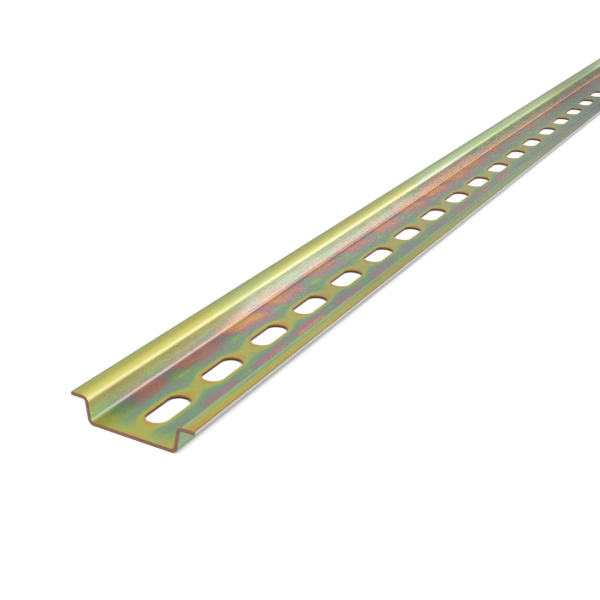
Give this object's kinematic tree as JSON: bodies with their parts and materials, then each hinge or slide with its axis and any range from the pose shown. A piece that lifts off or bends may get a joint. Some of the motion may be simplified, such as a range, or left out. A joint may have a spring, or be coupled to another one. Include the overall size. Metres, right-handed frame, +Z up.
{
  "type": "din rail",
  "caption": "Top-hat mounting rail, 35 mm wide: open channel with two outward flanges and a row of fixing slots along its flat back.",
  "frame": {"origin": "middle of the underside of the rail's flat back, on the floor", "axes": "+X along the rail, away from the end that is nearest in the picture; +Y across it, towards the upper left flange in the picture; +Z up, out of the open channel"},
  "size_m": [1, 0.035, 0.0075],
  "materials": {
    "yellow_zinc": "iridescent yellow passivated zinc plating on rolled steel"
  },
  "bodies": {
    "root": {"din_rail": "yellow_zinc"}
  },
  "joints": []
}
